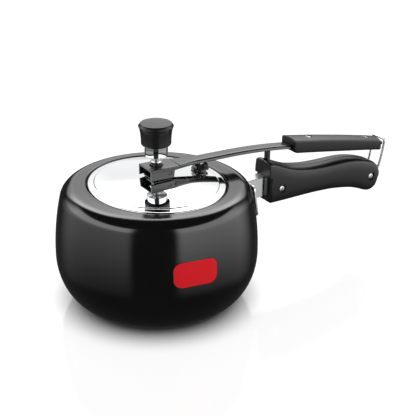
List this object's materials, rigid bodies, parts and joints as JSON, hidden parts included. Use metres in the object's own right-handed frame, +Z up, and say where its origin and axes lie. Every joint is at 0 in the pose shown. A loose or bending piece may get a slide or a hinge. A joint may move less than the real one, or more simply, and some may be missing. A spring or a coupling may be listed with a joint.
{
  "type": "stovetop pressure cooker",
  "caption": "Round bellied pressure cooker with an oval mouth, an inner lid on a long lever, a weight regulator, a body handle and a wire locking bail.",
  "frame": {"origin": "centre of the flat base, on the pot's axis", "axes": "+X along both handles, away from the pot; +Z up along the pot's axis; -Y is the side with the screw heads"},
  "size_m": [0.3817, 0.1977, 0.1791],
  "materials": {
    "anodised_aluminium": "hard anodised black, satin gloss",
    "red_label": "gloss",
    "bright_steel": "bright",
    "phenolic_black": "moulded satin black",
    "plated_screw": "plated",
    "mirror_steel": "mirror polished",
    "black_rubber": "matt",
    "lever_steel": "dark grey, satin gloss",
    "dark_nut": "blackened"
  },
  "bodies": {
    "pot": {"vessel": "anodised_aluminium", "label_plate": "red_label", "handle_bracket": "bright_steel", "bracket_rivet_1": "bright_steel", "bracket_rivet_2": "bright_steel", "bracket_rivet_3": "bright_steel", "handle_half_near": "phenolic_black", "handle_half_far": "phenolic_black", "front_handle_screw": "plated_screw", "front_handle_nut": "plated_screw", "rear_handle_screw": "plated_screw", "rear_handle_nut": "plated_screw"},
    "bail": {"locking_bail": "bright_steel"},
    "lever": {"lever_bar": "lever_steel", "fulcrum_post": "lever_steel", "lid_grip": "phenolic_black", "grip_screw_front": "plated_screw", "grip_screw_rear": "plated_screw", "lid_pivot_pin": "lever_steel"},
    "lid": {"lid": "mirror_steel", "sealing_gasket": "black_rubber", "lid_bracket": "lever_steel", "vent_tube": "bright_steel", "vent_nut": "dark_nut", "vent_locknut": "plated_screw", "safety_valve_body": "dark_nut", "safety_valve_plug": "bright_steel", "safety_valve_nut": "plated_screw"},
    "regulator": {"regulator_weight": "mirror_steel", "regulator_cap": "phenolic_black"}
  },
  "joints": [
    {"name": "lever_tilt", "type": "hinge", "parent": "pot", "child": "lever", "pos_m": [0.1301, 0, 0.102], "axis": [0, -1, 0], "range_deg": [0, 4]},
    {"name": "lid_level", "type": "hinge", "parent": "lever", "child": "lid", "pos_m": [0.0082, 0, 0.131], "axis": [0, -1, 0], "range_deg": [-4.5, 0.5]},
    {"name": "regulator_lift", "type": "slide", "parent": "lid", "child": "regulator", "axis": [0, 0, 1], "range_m": [0, 0.03]},
    {"name": "bail_swing", "type": "hinge", "parent": "pot", "child": "bail", "pos_m": [0.2622, 0, 0.0731], "axis": [0, 1, 0], "range_deg": [0, 110]}
  ],
  "couplings": [
    {"joint": "lid_level", "follows": "lever_tilt", "ratio": -1},
    {"joint": "bail_swing", "follows": "lever_tilt", "ratio": 27.5}
  ]
}
